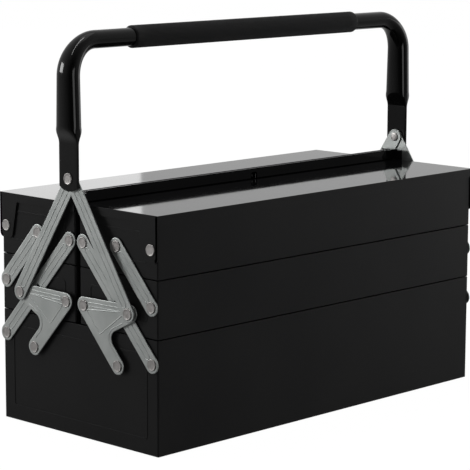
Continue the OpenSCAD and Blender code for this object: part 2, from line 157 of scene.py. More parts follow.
def tint(tree, source, dark, light):
    """Blends two sRGB hex colours by a 0 to 1 value."""
    ramp = add_node(tree, "ShaderNodeValToRGB", {"Fac": source})
    ramp.color_ramp.elements[0].color = linear(dark)
    ramp.color_ramp.elements[1].color = linear(light)
    ramp.color_ramp.elements[0].position = 0.3
    ramp.color_ramp.elements[1].position = 0.7
    return ramp.outputs[0]


# ---- materials ----

def satin_powder_coat():
    """Charcoal polyester powder coat, sprayed dry and baked: even and dark, with a soft sheen and a
    faint orange peel of about 1.5 mm, drawn as coarse as it needs to show."""
    material, tree, shader = new_material("satin_powder_coated_steel")
    set_shader(shader, Specular_IOR_Level=0.16)
    cloud = mottle(tree, 9, detail=3)
    tree.links.new(tint(tree, cloud.outputs[0], "#101011", "#161616"), shader.inputs["Base Color"])
    peel = mottle(tree, 650, detail=2)
    tree.links.new(spread(tree, cloud.outputs[0], 0.34, 0.42), shader.inputs["Roughness"])
    bump = add_node(tree, "ShaderNodeBump", {"Height": peel.outputs[0]}, Strength=0.12, Distance=0.0002)
    tree.links.new(bump.outputs[0], shader.inputs["Normal"])
    return material


def gloss_lid_enamel():
    """The same charcoal coat flowed out smooth on the lids: dark face on, a mirror at a low angle."""
    material, tree, shader = new_material("gloss_powder_coated_lid_steel")
    set_shader(shader, Specular_IOR_Level=0.16)
    cloud = mottle(tree, 14, detail=3)
    tree.links.new(tint(tree, cloud.outputs[0], "#0a0a0b", "#0f0f10"), shader.inputs["Base Color"])
    tree.links.new(spread(tree, cloud.outputs[0], 0.04, 0.08), shader.inputs["Roughness"])
    wave = mottle(tree, 60, detail=1)
    bump = add_node(tree, "ShaderNodeBump", {"Height": wave.outputs[0]}, Strength=0.03, Distance=0.0003)
    tree.links.new(bump.outputs[0], shader.inputs["Normal"])
    return material


def dark_slit():
    """Stand-in for the shade in narrow slits and creases, which no mesh here has: almost black."""
    material, tree, shader = new_material("shaded_coat_in_folded_slit")
    set_shader(shader, Specular_IOR_Level=0.0)
    cloud = mottle(tree, 300, detail=3)
    tree.links.new(tint(tree, cloud.outputs[0], "#010101", "#040404"), shader.inputs["Base Color"])
    tree.links.new(spread(tree, cloud.outputs[0], 0.8, 0.95), shader.inputs["Roughness"])
    return material


def zinc_plate():
    """Cold-rolled strip, blanked and zinc plated: pale grey metal, satin, with a fine rolled grain
    of about 0.4 mm, and a slight clouding left by the passivation."""
    material, tree, shader = new_material("zinc_plated_pressed_steel")
    set_shader(shader, Metallic=1.0)
    cloud = mottle(tree, 45, detail=5)
    grain = mottle(tree, 2500, stretch=(1, 1, 0.12), detail=2)
    tree.links.new(tint(tree, cloud.outputs[0], "#aaaeac", "#bbbebc"), shader.inputs["Base Color"])
    tree.links.new(spread(tree, cloud.outputs[0], 0.42, 0.55), shader.inputs["Roughness"])
    bump = add_node(tree, "ShaderNodeBump", {"Height": grain.outputs[0]}, Strength=0.15,
                    Distance=0.00015)
    tree.links.new(bump.outputs[0], shader.inputs["Normal"])
    return material


def set_rivet_steel():
    """Mild steel rivets, nickel-washed and set by a rotating die: warmer than the zinc, with rings."""
    material, tree, shader = new_material("nickel_washed_rivet_steel")
    set_shader(shader, Metallic=1.0)
    cloud = mottle(tree, 260, detail=4)
    tree.links.new(tint(tree, cloud.outputs[0], "#a3a09e", "#b5b2b0"), shader.inputs["Base Color"])
    tree.links.new(spread(tree, cloud.outputs[0], 0.34, 0.5), shader.inputs["Roughness"])
    bump = add_node(tree, "ShaderNodeBump", {"Height": cloud.outputs[0]}, Strength=0.12, Distance=0.0002)
    tree.links.new(bump.outputs[0], shader.inputs["Normal"])
    return material


def handle_enamel():
    """Bent steel tube dipped in black enamel: deep gloss with long soft highlights."""
    material, tree, shader = new_material("gloss_enamelled_handle_tube")
    set_shader(shader, Specular_IOR_Level=0.32)
    cloud = mottle(tree, 30, detail=3)
    tree.links.new(tint(tree, cloud.outputs[0], "#060606", "#0b0b0b"), shader.inputs["Base Color"])
    tree.links.new(spread(tree, cloud.outputs[0], 0.07, 0.12), shader.inputs["Roughness"])
    wave = mottle(tree, 120, detail=1)
    bump = add_node(tree, "ShaderNodeBump", {"Height": wave.outputs[0]}, Strength=0.06, Distance=0.0003)
    tree.links.new(bump.outputs[0], shader.inputs["Normal"])
    return material


def grip_rubber():
    """Extruded rubber sleeve: matt charcoal, its tone mottled a little at random."""
    material, tree, shader = new_material("extruded_ribbed_rubber")
    set_shader(shader, Specular_IOR_Level=0.2, Sheen_Weight=0.05, Sheen_Roughness=0.5)
    dust = mottle(tree, 220, detail=6)
    tree.links.new(tint(tree, dust.outputs[0], "#0e0e0f", "#151516"), shader.inputs["Base Color"])
    tree.links.new(spread(tree, dust.outputs[0], 0.5, 0.68), shader.inputs["Roughness"])
    bump = add_node(tree, "ShaderNodeBump", {"Height": dust.outputs[0]}, Strength=0.2, Distance=0.0002)
    tree.links.new(bump.outputs[0], shader.inputs["Normal"])
    return material


# ---- surfaces ----

def grid_faces(rows, count, closed=True, wrap_rows=False):
    """Quads between neighbouring rows of a grid, each row of count points joined end to end."""
    i, j = np.meshgrid(np.arange(rows if wrap_rows else rows - 1),
                       np.arange(count if closed else count - 1), indexing="ij")
    i2, j2 = (i + 1) % rows, (j + 1) % count
    return np.stack([i * count + j, i * count + j2, i2 * count + j2, i2 * count + j], -1).reshape(-1, 4)


def skin(grid, capped=True, wrap_rows=False):
    """Points and faces of a surface given as rows of closed rings, with its two ends filled."""
    rows, count = grid.shape[:2]
    faces = grid_faces(rows, count, wrap_rows=wrap_rows).tolist()
    if capped:
        faces += [list(range(count - 1, -1, -1)), list(range((rows - 1) * count, rows * count))]
    return grid.reshape(-1, 3), faces


def placed(surface, end, side):
    """The right-hand, back-side surface mirrored to an end and a side, its faces still outwards."""
    points, faces = surface
    points = points * np.array([end, side, 1.0])
    return points, [f[::-1] for f in faces] if end * side < 0 else faces


def joined(surfaces):
    """Several surfaces as one."""
    points, faces, start = [], [], 0
    for p, f in surfaces:
        points.append(p)
        faces += [[k + start for k in face] for face in f]
        start += len(p)
    return np.concatenate(points), faces


def piece(name, surface, body, material, nodes, sharp=35.0):
    """One object from points in mm: rides on its body and stands for its CAD nodes."""
    points, faces = surface
    mesh = bpy.data.meshes.new(name)
    mesh.from_pydata((points * MM).tolist(), [], faces)
    mesh.polygons.foreach_set("use_smooth", np.ones(len(mesh.polygons), bool))
    mesh.set_sharp_from_angle(angle=math.radians(sharp))
    mesh.materials.append(material)
    mesh.update()
    obj = bpy.data.objects.new(name, mesh)
    bpy.context.scene.collection.objects.link(obj)
    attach(obj, body)
    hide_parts(*nodes)
    return obj


def arc(centre, radius, start, stop, steps):
    """Points on a circle from one angle to another, in degrees, as (y, z)."""
    a = np.radians(np.linspace(start, stop, steps))
    return np.stack([centre[0] + radius * np.cos(a), centre[1] + radius * np.sin(a)], -1)


def stadium(a, b, radius, steps=18):
    """Outline of a bar with round ends between two pivots, anticlockwise."""
    lean = math.degrees(math.atan2(*(b - a)[::-1]))
    return np.concatenate([arc(b, radius, lean - 90, lean + 90, steps),
                           arc(a, radius, lean + 90, lean + 270, steps)])


def plate_frame():
    """What the plate's outline and pressings share: the way its foot leans, the ways its lobe's edge
    and its top edge run, all in degrees, the unit vector down its foot, and the notch's centre."""
    lean = math.degrees(math.atan2(-PITCH[0], PITCH[1]))
    down = np.array([math.sin(math.radians(lean)), -math.cos(math.radians(lean))])
    out = np.array([-down[1], down[0]])
    corner = PLATE_FOOT + LINK_HALF * out - NOTCH_UP * down
    run = PLATE_LOBE - corner
    lobe = math.atan2(run[1], run[0]) - math.asin(LINK_HALF / np.linalg.norm(run))
    edge = np.array([math.cos(lobe), math.sin(lobe)])
    between = math.acos(float(down @ edge))
    centre = corner + NOTCH_R / math.sin(between / 2) * (down + edge) / np.linalg.norm(down + edge)
    top = math.degrees(math.atan2(*(PLATE_LOBE - PLATE_CROWN)[::-1])) + 90
    return lean, math.degrees(lobe), top, down, centre


def plate_outline(inset):
    """Outline of the spreader plate, moved inwards: outer arcs lose the inset and the notch gains it."""
    lean, lobe, top, _, centre = plate_frame()
    r = LINK_HALF - inset
    return np.concatenate([
        arc(PLATE_FOOT, r, lean - 180, lean, 18),
        arc(centre, NOTCH_R + inset, lean + 180, lobe + 90, 14),
        arc(PLATE_LOBE, r, lobe - 90, top, 18),
        arc(PLATE_CROWN, r, top, lean + 180, 14)])


def pressed(outline, d):
    """A blanked flat piece from its outline: rings step up the cut edge, round over by 0.3 mm and
    run in across the face. outline(inset) gives a ring of points at that distance inside the edge."""
    section = [(0.15, 0.0), (0.0, 0.15), (0.0, LINK_T - 0.3), (0.09, LINK_T - 0.09), (0.3, LINK_T),
               (0.8, LINK_T)]
    rings = [np.column_stack([np.full(len(outline(v)), END_X + d + h), outline(v)])
             for v, h in section]
    return skin(np.array(rings))


def ridge(path, d, closed=True, width=1.1, height=0.24):
    """A line pressed up along a path: a half-round profile swept along it, level with the face.
    Each row is the path moved sideways by w and outwards by h, for points (w, h) of the profile."""
    ahead = np.roll(path, -1, 0) - np.roll(path, 1, 0)
    if not closed:
        ahead[0], ahead[-1] = path[1] - path[0], path[-1] - path[-2]
    ahead /= np.linalg.norm(ahead, axis=1)[:, None]
    side = np.stack([ahead[:, 1], -ahead[:, 0]], -1)
    a = np.radians(np.linspace(0, 180, 7))
    profile = list(zip(-width / 2 * np.cos(a), height * np.sin(a)))
    profile = [(-width / 2, -0.1)] + profile + [(width / 2, -0.1)]
    rows = [np.column_stack([np.full(len(path), END_X + d + LINK_T + h), path + w * side])
            for w, h in profile]
    grid = np.array(rows)[::-1]
    faces = grid_faces(len(rows), len(path), closed=closed, wrap_rows=True).tolist()
    if not closed:
        n = len(path)
        faces += [[k * n for k in range(len(rows))],
                  [k * n + n - 1 for k in range(len(rows) - 1, -1, -1)]]
    return grid.reshape(-1, 3), faces


def bar_piece(a, b, d, clear):
    """A link or arm with one long pressed loop that stops short of its rivets."""
    run = (b - a) / np.linalg.norm(b - a)
    loop = stadium(a + clear * run, b - clear * run, LOOP_R, 10)
    return joined([pressed(lambda v: stadium(a, b, LINK_HALF - v), d), ridge(loop, d)])


def plate_piece():
    """The spreader plate with its pressed triangle, the strip above it and the line that follows the
    notch."""
    lean, lobe, top, down, centre = plate_frame()
    tip_a = PLATE_CROWN + TRIANGLE_A
    tip_b = PLATE_LOBE + TRIANGLE_B
    tip_c = PLATE_CROWN + TRIANGLE_DOWN * down + TRIANGLE_C
    side = math.degrees(math.atan2(*(tip_b - tip_c)[::-1])) - 90
    inner = math.degrees(math.atan2(*(tip_c - tip_a)[::-1])) - 90
    triangle = np.concatenate([
        arc(tip_c, TRIANGLE_R, inner, side if inner < side else side + 360, 8),
        arc(tip_b, TRIANGLE_R, side, top, 8),
        arc(tip_a, TRIANGLE_R, top, inner + 360, 8)])
    lobe_way = np.array([math.cos(math.radians(lobe)), math.sin(math.radians(lobe))])
    bend = arc(centre, NOTCH_R + NOTCH_LINE_OUT, lean + 180, lobe + 90, 14)
    line = np.concatenate([[bend[0] + NOTCH_LINE_DOWN * down], bend,
                           [bend[-1] + NOTCH_LINE_UP * lobe_way]])
    strip = stadium(PLATE_CROWN + STRIP_A, PLATE_LOBE + STRIP_B, STRIP_R, 8)
    return joined([pressed(plate_outline, PLATE_D), ridge(triangle, PLATE_D), ridge(strip, PLATE_D),
                   ridge(line, PLATE_D, closed=False)])


def turned(profile, at, steps=48):
    """A lathe shape about the line through a pivot: each (radius, d) of the profile is one ring."""
    a = np.linspace(0, 2 * np.pi, steps, endpoint=False)
    r, d = np.array(profile, float).T
    x = np.repeat((END_X + d)[:, None], steps, 1)
    return skin(np.stack([x, at[0] + r[:, None] * np.cos(a), at[1] + r[:, None] * np.sin(a)], -1))


def head(d, radius=5.1, height=0.75):
    """Profile of a set head: a rounded rim that the die left standing round a flat face."""
    shares = [(1, 0), (1, 0.5), (0.98, 0.75), (0.94, 0.94), (0.9, 1), (0.85, 0.97), (0.8, 0.87),
              (0.75, 0.83), (0.4, 0.86), (0.08, 0.87)]
    return [(radius * r, d + height * h) for r, h in shares]


def wall_tail():
    """Profile of a rivet's tail inside the end wall, its shank and the foot of its collar."""
    return [(3.2, -SHEET_T - TAIL_H), (3.9, -SHEET_T - 0.62), (COLLAR_R, -SHEET_T - 0.4),
            (COLLAR_R, -SHEET_T), (PIN_R, -SHEET_T), (PIN_R, 0), (COLLAR_R, 0)]


def wall_rivet(at, d, thickness):
    """A rivet set through the end wall: tail, shank, spacing collar, shank and head."""
    top = d + thickness + RIVET_GAP
    shank = [(COLLAR_R, d - RIVET_GAP), (PIN_R, d - RIVET_GAP), (PIN_R, top)]
    return turned(wall_tail() + shank + head(top), at)


def flush_rivet(at):
    """The rivet under the plate, filed level with the long link."""
    top = LINK_D + LINK_T
    flush = [(COLLAR_R, LINK_D - RIVET_GAP), (FLUSH_R, LINK_D - RIVET_GAP), (FLUSH_R, top - 0.15),
             (FLUSH_R - 0.15, top), (1.2, top)]
    return turned(wall_tail() + flush, at)


def both_ends(surface):
    """A right-hand surface and its mirror image at the left end."""
    return joined([placed(surface, end, 1) for end in ENDS.values()])


def on_side(surface, side):
    """A back-side surface at the front or the back."""
    return placed(surface, 1, side)


# ---- handle ----

BAR_Z = APEX[1] + 117.7
TUBE_R, LEG_HALF, FLARE_HALF, FOOT_HALF = 8.0, 11.25, 12.5, 12.0
# Squareness of the leg's section, where 2 is an ellipse
LEG_SQUARE = 2.3
BEND_R, FOOT_END_R, FOOT_BELOW, FLAT_ABOVE, OPENING = 30.0, 20.0, 11.0, 30.0, 16.0
GRIP_R, GRIP_HALF, GRIP_ROUND = 10.0, 146.0, 1.5


def handle_surface(sides=64):
    """The tube: rounded-rectangle sections carried up a leg, round the bend and down the other leg.
    A section point at angle a is (half thickness * |cos a| ^ 2/n, half width * |sin a| ^ 2/n)."""
    mid_x = END_X + FOOT_D + FOOT_T / 2
    foot_z, flat_z, leg_z = APEX[1] - FOOT_BELOW, APEX[1] + FLAT_ABOVE, BAR_Z - BEND_R
    rise = (FOOT_END_R - math.sqrt(FOOT_END_R ** 2 - FOOT_HALF ** 2)) * np.linspace(0.1, 1, 9) ** 2
    half = np.sqrt(FOOT_END_R ** 2 - (FOOT_END_R - rise) ** 2)
    one = np.ones_like(rise)
    foot = np.stack([mid_x * one, foot_z + rise, 90 * one, FOOT_T / 2 * one, half, 8 * one], -1)
    s = np.linspace(0, 1, 26)
    k = s * s * (3 - 2 * s)
    one = np.ones_like(s)
    opening = np.stack([mid_x * one, flat_z + s * OPENING, 90 * one,
                        FOOT_T / 2 + k * (TUBE_R - FOOT_T / 2),
                        FOOT_HALF + k * (FLARE_HALF - FOOT_HALF), 8 + k * (LEG_SQUARE - 8)], -1)
    a = np.radians(np.linspace(0, 90, 25))
    one = np.ones_like(a)
    k = np.sin(a) ** 2
    bend = np.stack([mid_x - BEND_R + BEND_R * np.cos(a), leg_z + BEND_R * np.sin(a),
                     90 + np.degrees(a), TUBE_R * one, LEG_HALF + k * (TUBE_R - LEG_HALF),
                     LEG_SQUARE + k * (2 - LEG_SQUARE)], -1)
    right = np.concatenate([foot, opening, bend])
    left = right[::-1] * np.array([-1, 1, -1, 1, 1, 1]) + np.array([0, 0, 360, 0, 0, 0])
    x, z, heading, thick, wide, n = np.concatenate([right, left]).T[:, :, None]
    t = np.linspace(0, 2 * np.pi, sides, endpoint=False)[None]
    across = thick * np.sign(np.cos(t)) * np.abs(np.cos(t)) ** (2 / n)
    y = wide * np.sign(np.sin(t)) * np.abs(np.sin(t)) ** (2 / n)
    h = np.radians(heading)
    return skin(np.stack([x + across * np.sin(h), y, z - across * np.cos(h)], -1))


def grip_surface(ribs, depth):
    """The sleeve: a rounded tube section turned about the bar. Its outside dips by depth * (1 - |cos|)
    of half the rib angle, and the ribs fade out at the ends."""
    per = 6
    t = np.linspace(0, 2 * np.pi, ribs * per, endpoint=False)
    q = np.radians(np.linspace(0, 90, 7))
    inner = GRIP_R - GRIP_ROUND
    turn_x, turn_r = GRIP_HALF - GRIP_ROUND + GRIP_ROUND * np.sin(q), inner + GRIP_ROUND * np.cos(q)
    run = np.linspace(-1, 1, 31) * (GRIP_HALF - GRIP_ROUND)
    x = np.concatenate([-turn_x[::-1], run[1:-1], turn_x, [GRIP_HALF, -GRIP_HALF]])
    r = np.concatenate([turn_r[::-1], np.full(29, GRIP_R), turn_r, [TUBE_R + 0.02, TUBE_R + 0.02]])
    ribbed = np.clip((GRIP_HALF - 1.5 - np.abs(x)) / 3, 0, 1) * (r > GRIP_R - 0.5)
    dip = depth * (1 - np.abs(np.cos(ribs * t / 2))) ** 1.5
    radius = r[:, None] - ribbed[:, None] * dip[None]
    grid = np.stack([np.repeat(x[:, None], len(t), 1), radius * np.cos(t),
                     BAR_Z + radius * np.sin(t)], -1)
    return skin(grid, capped=False, wrap_rows=True)


def packed_mesh(node):
    """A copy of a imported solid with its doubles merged."""
    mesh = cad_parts[node].data.copy()
    work = bmesh.new()
    work.from_mesh(mesh)
    bmesh.ops.remove_doubles(work, verts=work.verts, dist=0.002 * MM)
    work.to_mesh(mesh)
    work.free()
    return mesh


def united(nodes):
    """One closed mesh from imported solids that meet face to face."""
    parts = [bpy.data.objects.new("part", packed_mesh(node)) for node in nodes]
    for part in parts:
        bpy.context.scene.collection.objects.link(part)
    for other in parts[1:]:
        union = parts[0].modifiers.new("union", "BOOLEAN")
        union.operation = "UNION"
        union.solver = "EXACT"
        union.object = other
    mesh = bpy.data.meshes.new_from_object(parts[0].evaluated_get(bpy.context.evaluated_depsgraph_get()))
    for part in parts:
        bpy.data.objects.remove(part)
    return mesh


def finish_lid(mesh):
    """Material index of each face of a lid: 0 on its top and flange, 1 on what hangs below the top."""
    finish = [1 if face.center.z < (LID_TOP - 0.05) * MM else 0 for face in mesh.polygons]
    mesh.polygons.foreach_set("material_index", finish)


def ear_slit_painted_shades():
    """The dark line between each ear and the fold beside it, where the real box has a slit: painted
    shade, drawn as a flat dark ribbon on the end face, down the ear's outer edge and round its lower
    corner."""
    y = OUTER_Y - SLIT_SHADE_W / 2 - SLIT_SHADE_INSIDE
    corner = arc((y - EAR_R, EAR_FOOT + EAR_R), EAR_R, 0, -70, 10)
    path = np.concatenate([[[y, LID_TOP - SLIT_SHADE_BELOW]], corner])
    return both_ends(ridge(path, LINK_D, closed=False, width=SLIT_SHADE_W, height=SLIT_SHADE_PROUD))


def slot_outline(out):
    """The padlock slot's outline moved outwards by out, as (x, z)."""
    r = SLOT_R + out
    x, z = SLOT_W / 2 - SLOT_R, SLOT_H / 2 - SLOT_R
    corners = [arc((cx * x, cz * z), r, start, start + 90, 6)
               for cx, cz, start in ((1, -1, -90), (1, 1, 0), (-1, 1, 90), (-1, -1, 180))]
    return np.concatenate(corners) + np.array([SLOT_X, LID_TOP + SLOT_LIFT + SLOT_H / 2])


def flange_shades():
    """Stand-ins for shade on a flange: a dark rim round the padlock slot, 1.05 mm wide, and a dark
    line in the crease at the flange's root. Each point of the rim is (distance outwards, height)."""
    section = [(0.0, -0.5), (0.0, 0.15), (0.2, 0.25), (0.9, 0.25), (1.05, 0.15), (1.05, -0.05)]
    rings = [np.insert(slot_outline(out), 1, FLANGE_Y + high, axis=1) for out, high in section]
    crease = [(-0.1, -0.1), (0.25, -0.1), (0.25, 0.1), (0.1, 0.8), (-0.1, 0.8)]
    runs = [np.array([[x, FLANGE_Y + y, LID_TOP + z] for y, z in crease])
            for x in (END_X - 2, 2 - END_X)]
    return joined([skin(np.array(rings), wrap_rows=True, capped=False), skin(np.array(runs))])


def eased(nodes, name, body, materials, width):
    """A folded-sheet piece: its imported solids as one, flat triangles dissolved, and every fold and
    cut edge rounded by a bevel of this width in mm."""
    mesh = packed_mesh(nodes[0]) if len(nodes) == 1 else united(nodes)
    mesh.name = name
    work = bmesh.new()
    work.from_mesh(mesh)
    bmesh.ops.dissolve_limit(work, angle_limit=math.radians(1.0), verts=work.verts,
                             edges=work.edges)
    work.to_mesh(mesh)
    work.free()
    mesh.materials.clear()
    for material in materials:
        mesh.materials.append(material)
    if len(materials) > 1:
        finish_lid(mesh)
    mesh.polygons.foreach_set("use_smooth", np.ones(len(mesh.polygons), bool))
    obj = bpy.data.objects.new(name, mesh)
    bpy.context.scene.collection.objects.link(obj)
    bevel = obj.modifiers.new("eased_folds", "BEVEL")
    bevel.width = width * MM
    bevel.segments = 2
    bevel.limit_method = "ANGLE"
    bevel.angle_limit = math.radians(40)
    flat = obj.modifiers.new("flat_faces", "WEIGHTED_NORMAL")
    flat.mode = "FACE_AREA"
    flat.weight = 100
    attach(obj, body)
    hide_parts(*nodes)
    return obj


# ---- properties and operators ----

class ToolBoxSizes(bpy.types.PropertyGroup):
    """Sizes that a user would change."""
    fold_ease: bpy.props.FloatProperty(
        name="Fold rounding", description="Width of the rounding along folds and rims, in mm",
        default=0.25)
    lid_ease: bpy.props.FloatProperty(
        name="Lid rounding", description="Width of the rounding along the lids' folds, in mm",
        default=0.4)
    ribs: bpy.props.IntProperty(
        name="Grip ribs", description="Number of ribs round the grip", default=56, min=12, max=90)
    rib_depth: bpy.props.FloatProperty(
        name="Rib depth", description="Depth of the grooves between the grip's ribs, in mm",
        default=0.45)
    link_clear: bpy.props.FloatProperty(
        name="Line clearance", description="Distance of a pressed line from its rivets, in mm",
        default=8.6)
    floor_size: bpy.props.FloatProperty(
        name="Floor size", description="Width of the studio floor", default=14.0, unit="LENGTH")
    key_power: bpy.props.FloatProperty(
        name="Key light", description="Power of the large light on the left, in watts",
        default=26.0)
    room_light: bpy.props.FloatProperty(
        name="Room light", description="Brightness of the studio walls", default=0.8)
    room_foot: bpy.props.FloatProperty(
        name="Room foot", description="Brightness of the studio below eye level, as a share of the rest",
        default=0.72)


class ToolBoxColours(bpy.types.PropertyGroup):
    """Colours that a user would change."""
    floor: bpy.props.FloatVectorProperty(
        name="Floor", description="Colour of the studio floor", default=linear("#f4f4f4")[:3],
        size=3, subtype="COLOR")
    room: bpy.props.FloatVectorProperty(
        name="Room", description="Colour of the studio walls", default=(1.0, 1.0, 1.0), size=3,
        subtype="COLOR")


MATERIALS = {}


def material_of(maker):
    """Makes each material once."""
    if maker not in MATERIALS:
        MATERIALS[maker] = maker()
    return MATERIALS[maker]


class TOOLBOX_OT_trays(bpy.types.Operator):
    """Dresses the base and the four trays"""
    bl_idname = "toolbox.trays"
    bl_label = "Base and trays"

    def execute(self, context):
        width = context.scene.toolbox_sizes.fold_ease
        paint = [material_of(satin_powder_coat)]
        eased(["base_tray"], "base_shell", "base", paint, width)
        for side in SIDES:
            eased([f"{side}_middle_tray"], f"{side}_middle_shell", f"{side}_middle", paint, width)
            eased([f"{side}_upper_tray", f"{side}_upper_floor"], f"{side}_upper_shell",
                  f"{side}_upper", paint, width)
        return {"FINISHED"}


class TOOLBOX_OT_lids(bpy.types.Operator):
    """Dresses the two lids"""
    bl_idname = "toolbox.lids"
    bl_label = "Lids"

    def execute(self, context):
        finishes = [material_of(maker) for maker in (gloss_lid_enamel, satin_powder_coat)]
        for side, s in SIDES.items():
            eased([f"{side}_lid_{part}" for part in ("panel", "flange", "skirt")], f"{side}_lid_shell",
                  f"{side}_lid_body", finishes, context.scene.toolbox_sizes.lid_ease)
            # a dark ribbon of painted shade beside each ear, where the real box has a slit
            piece(f"{side}_lid_ear_slits", on_side(ear_slit_painted_shades(), s), f"{side}_lid_body",
                  material_of(dark_slit), [f"{side}_lid_skirt"])
            piece(f"{side}_lid_flange_shades", on_side(flange_shades(), s), f"{side}_lid_body",
                  material_of(dark_slit), [f"{side}_lid_flange"])
        return {"FINISHED"}


class TOOLBOX_OT_links(bpy.types.Operator):
    """Makes the long and short links with their pressed lines"""
    bl_idname = "toolbox.links"
    bl_label = "Links"

    def execute(self, context):
        clear = context.scene.toolbox_sizes.link_clear
        zinc = material_of(zinc_plate)
        for kind, a, b in (("long_link", FOOT, CROWN), ("short_link", SHORT_FOOT, SHORT_CROWN)):
            shape = bar_piece(a, b, LINK_D, clear)
            for side, s in SIDES.items():
                for end, e in ENDS.items():
                    piece(f"{end}_{side}_{kind}_pressing", placed(shape, e, s), f"{side}_{kind}s",
                          zinc, [f"{end}_{side}_{kind}"])
        return {"FINISHED"}


class TOOLBOX_OT_spreaders(bpy.types.Operator):
    """Makes the three-pivot plates and the arms to the handle"""
    bl_idname = "toolbox.spreaders"
    bl_label = "Plates and arms"

    def execute(self, context):
        clear = context.scene.toolbox_sizes.link_clear
        zinc = material_of(zinc_plate)
        plate = plate_piece()
        arms = {side: bar_piece(PLATE_LOBE, APEX, d, clear) for side, d in ARM_D.items()}
        for side, s in SIDES.items():
            for end, e in ENDS.items():
                piece(f"{end}_{side}_plate_pressing", placed(plate, e, s), f"{side}_plates", zinc,
                      [f"{end}_{side}_plate"])
                piece(f"{end}_{side}_arm_pressing", placed(arms[side], e, s), f"{side}_arms", zinc,
                      [f"{end}_{side}_arm"])
        return {"FINISHED"}


class TOOLBOX_OT_rivets(bpy.types.Operator):
    """Makes every rivet, with the collars that space the flat pieces"""
    bl_idname = "toolbox.rivets"
    bl_label = "Rivets"

    def execute(self, context):
        steel = material_of(set_rivet_steel)

        def rivets(name, surface, body, node):
            """One set of rivets as a piece."""
            piece(name, surface, body, steel, [node], sharp=50.0)

        base = joined([wall_rivet(FOOT, LINK_D, LINK_T), wall_rivet(PLATE_FOOT, PLATE_D, LINK_T)])
        base = joined([on_side(base, s) for s in SIDES.values()])
        for end, e in ENDS.items():
            rivets(f"{end}_base_rivet_set", placed(base, e, 1), "base", f"{end}_base_rivets")
        middle = both_ends(joined([flush_rivet(MIDDLE), wall_rivet(SHORT_FOOT, LINK_D, LINK_T),
                                   wall_rivet(PLATE_CROWN, PLATE_D, LINK_T)]))
        upper = both_ends(joined([wall_rivet(CROWN, LINK_D, LINK_T),
                                  wall_rivet(SHORT_CROWN, LINK_D, LINK_T)]))
        lid = both_ends(wall_rivet(LID_PIVOT, LINK_D, SHEET_T))
        for side, s in SIDES.items():
            rivets(f"{side}_middle_rivet_set", on_side(middle, s), f"{side}_middle",
                   f"{side}_middle_rivets")
            rivets(f"{side}_upper_rivet_set", on_side(upper, s), f"{side}_upper",
                   f"{side}_upper_rivets")
            rivets(f"{side}_lid_pivot_set", on_side(lid, s), f"{side}_upper", f"{side}_lid_pivots")
            d = ARM_D[side]
            start = PLATE_D + LINK_T + SIDE_GAP
            arm = both_ends(turned([(3.4, start), (COLLAR_R, start + 0.2), (COLLAR_R, d), (PIN_R, d),
                                    (PIN_R, d + LINK_T)] + head(d + LINK_T), PLATE_LOBE))
            rivets(f"{side}_arm_rivet_set", on_side(arm, s), f"{side}_arms", f"{side}_arm_rivets")
        tail = ARM_D["back"] - RIVET_GAP
        top = FOOT_D + FOOT_T + RIVET_GAP
        pin = [(3.4, tail - TAIL_H), (COLLAR_R, tail - 0.45), (COLLAR_R, tail), (PIN_R, tail),
               (PIN_R, top)]
        apex = both_ends(turned(pin + head(top, height=1.2), APEX))
        rivets("handle_rivet_set", apex, "handle_joint", "handle_rivets")
        return {"FINISHED"}


class TOOLBOX_OT_handle(bpy.types.Operator):
    """Makes the bent tube with its flattened feet"""
    bl_idname = "toolbox.handle"
    bl_label = "Handle"

    def execute(self, context):
        piece("handle_bent_tube", handle_surface(), "handle", material_of(handle_enamel),
              ["handle_tube"], sharp=50.0)
        return {"FINISHED"}


class TOOLBOX_OT_grip(bpy.types.Operator):
    """Makes the ribbed sleeve on the handle's bar"""
    bl_idname = "toolbox.grip"
    bl_label = "Grip"

    def execute(self, context):
        sizes = context.scene.toolbox_sizes
        piece("handle_ribbed_sleeve", grip_surface(sizes.ribs, sizes.rib_depth), "handle",
              material_of(grip_rubber), ["handle_grip"], sharp=60.0)
        return {"FINISHED"}


# Camera: where it stands in mm, its turn, height and roll in degrees, and its focal length in pixels
CAMERA_AT = (-1413.2, -1350.1, 480.8)
CAMERA_TURN, CAMERA_HEIGHT, CAMERA_ROLL = -46.02, 9.48, 0.22
FOCAL_PX, FRAME_PX = 2120.1, 470.0
# Direction in which the room grows brighter, mostly away from the camera
ROOM_WAY = (0.66, 0.75, 0.0)
# Softboxes: name, place, target, width and height, all in metres, and power as a share of the key
# light. The strip overhead draws the streak on the handle's bend, the one in front the band on its
# legs, and the back lid mirrors the far one up to a sharp upright edge.
LIGHTS = (
    ("key_softbox", (-2.2, 2.4, 0.9), (0, 0, 0.12), (0.9, 0.9), 1.0),
    ("top_softbox", (0.3, -0.2, 2.6), (0, 0, 0.1), (1.6, 1.6), 0.2),
    ("side_softbox", (2.8, -1.0, 0.4), (0, 0, 0.1), (1.5, 1.5), 0.4),
    ("strip_softbox", (-0.9, -0.16, 2.5), (-0.9, -0.16, 0), (2.2, 0.12), 0.5),
    ("front_softbox", (-0.6, -1.5, 0.25), (-0.22, 0, 0.25), (0.8, 0.7), 0.13),
    ("back_softbox", (2.72, 4.16, 1.05), (-0.2, 0.05, 0.2), (1.6, 1.3), 0.23),
)


def camera_matrix():
    """Columns right, up and back. Back is (sin a cos e, -cos a cos e, sin e), and the roll turns the
    other two about it."""
    a, e, r = map(math.radians, (CAMERA_TURN, CAMERA_HEIGHT, CAMERA_ROLL))
    back = np.array([math.sin(a) * math.cos(e), -math.cos(a) * math.cos(e), math.sin(e)])
    right = np.array([math.cos(a), math.sin(a), 0.0])
    up = np.cross(back, right)
    columns = [math.cos(r) * right + math.sin(r) * up, math.cos(r) * up - math.sin(r) * right, back,
               np.array(CAMERA_AT) * MM]
    matrix = np.eye(4)
    matrix[:3] = np.array(columns).T
    return Matrix(matrix.tolist())


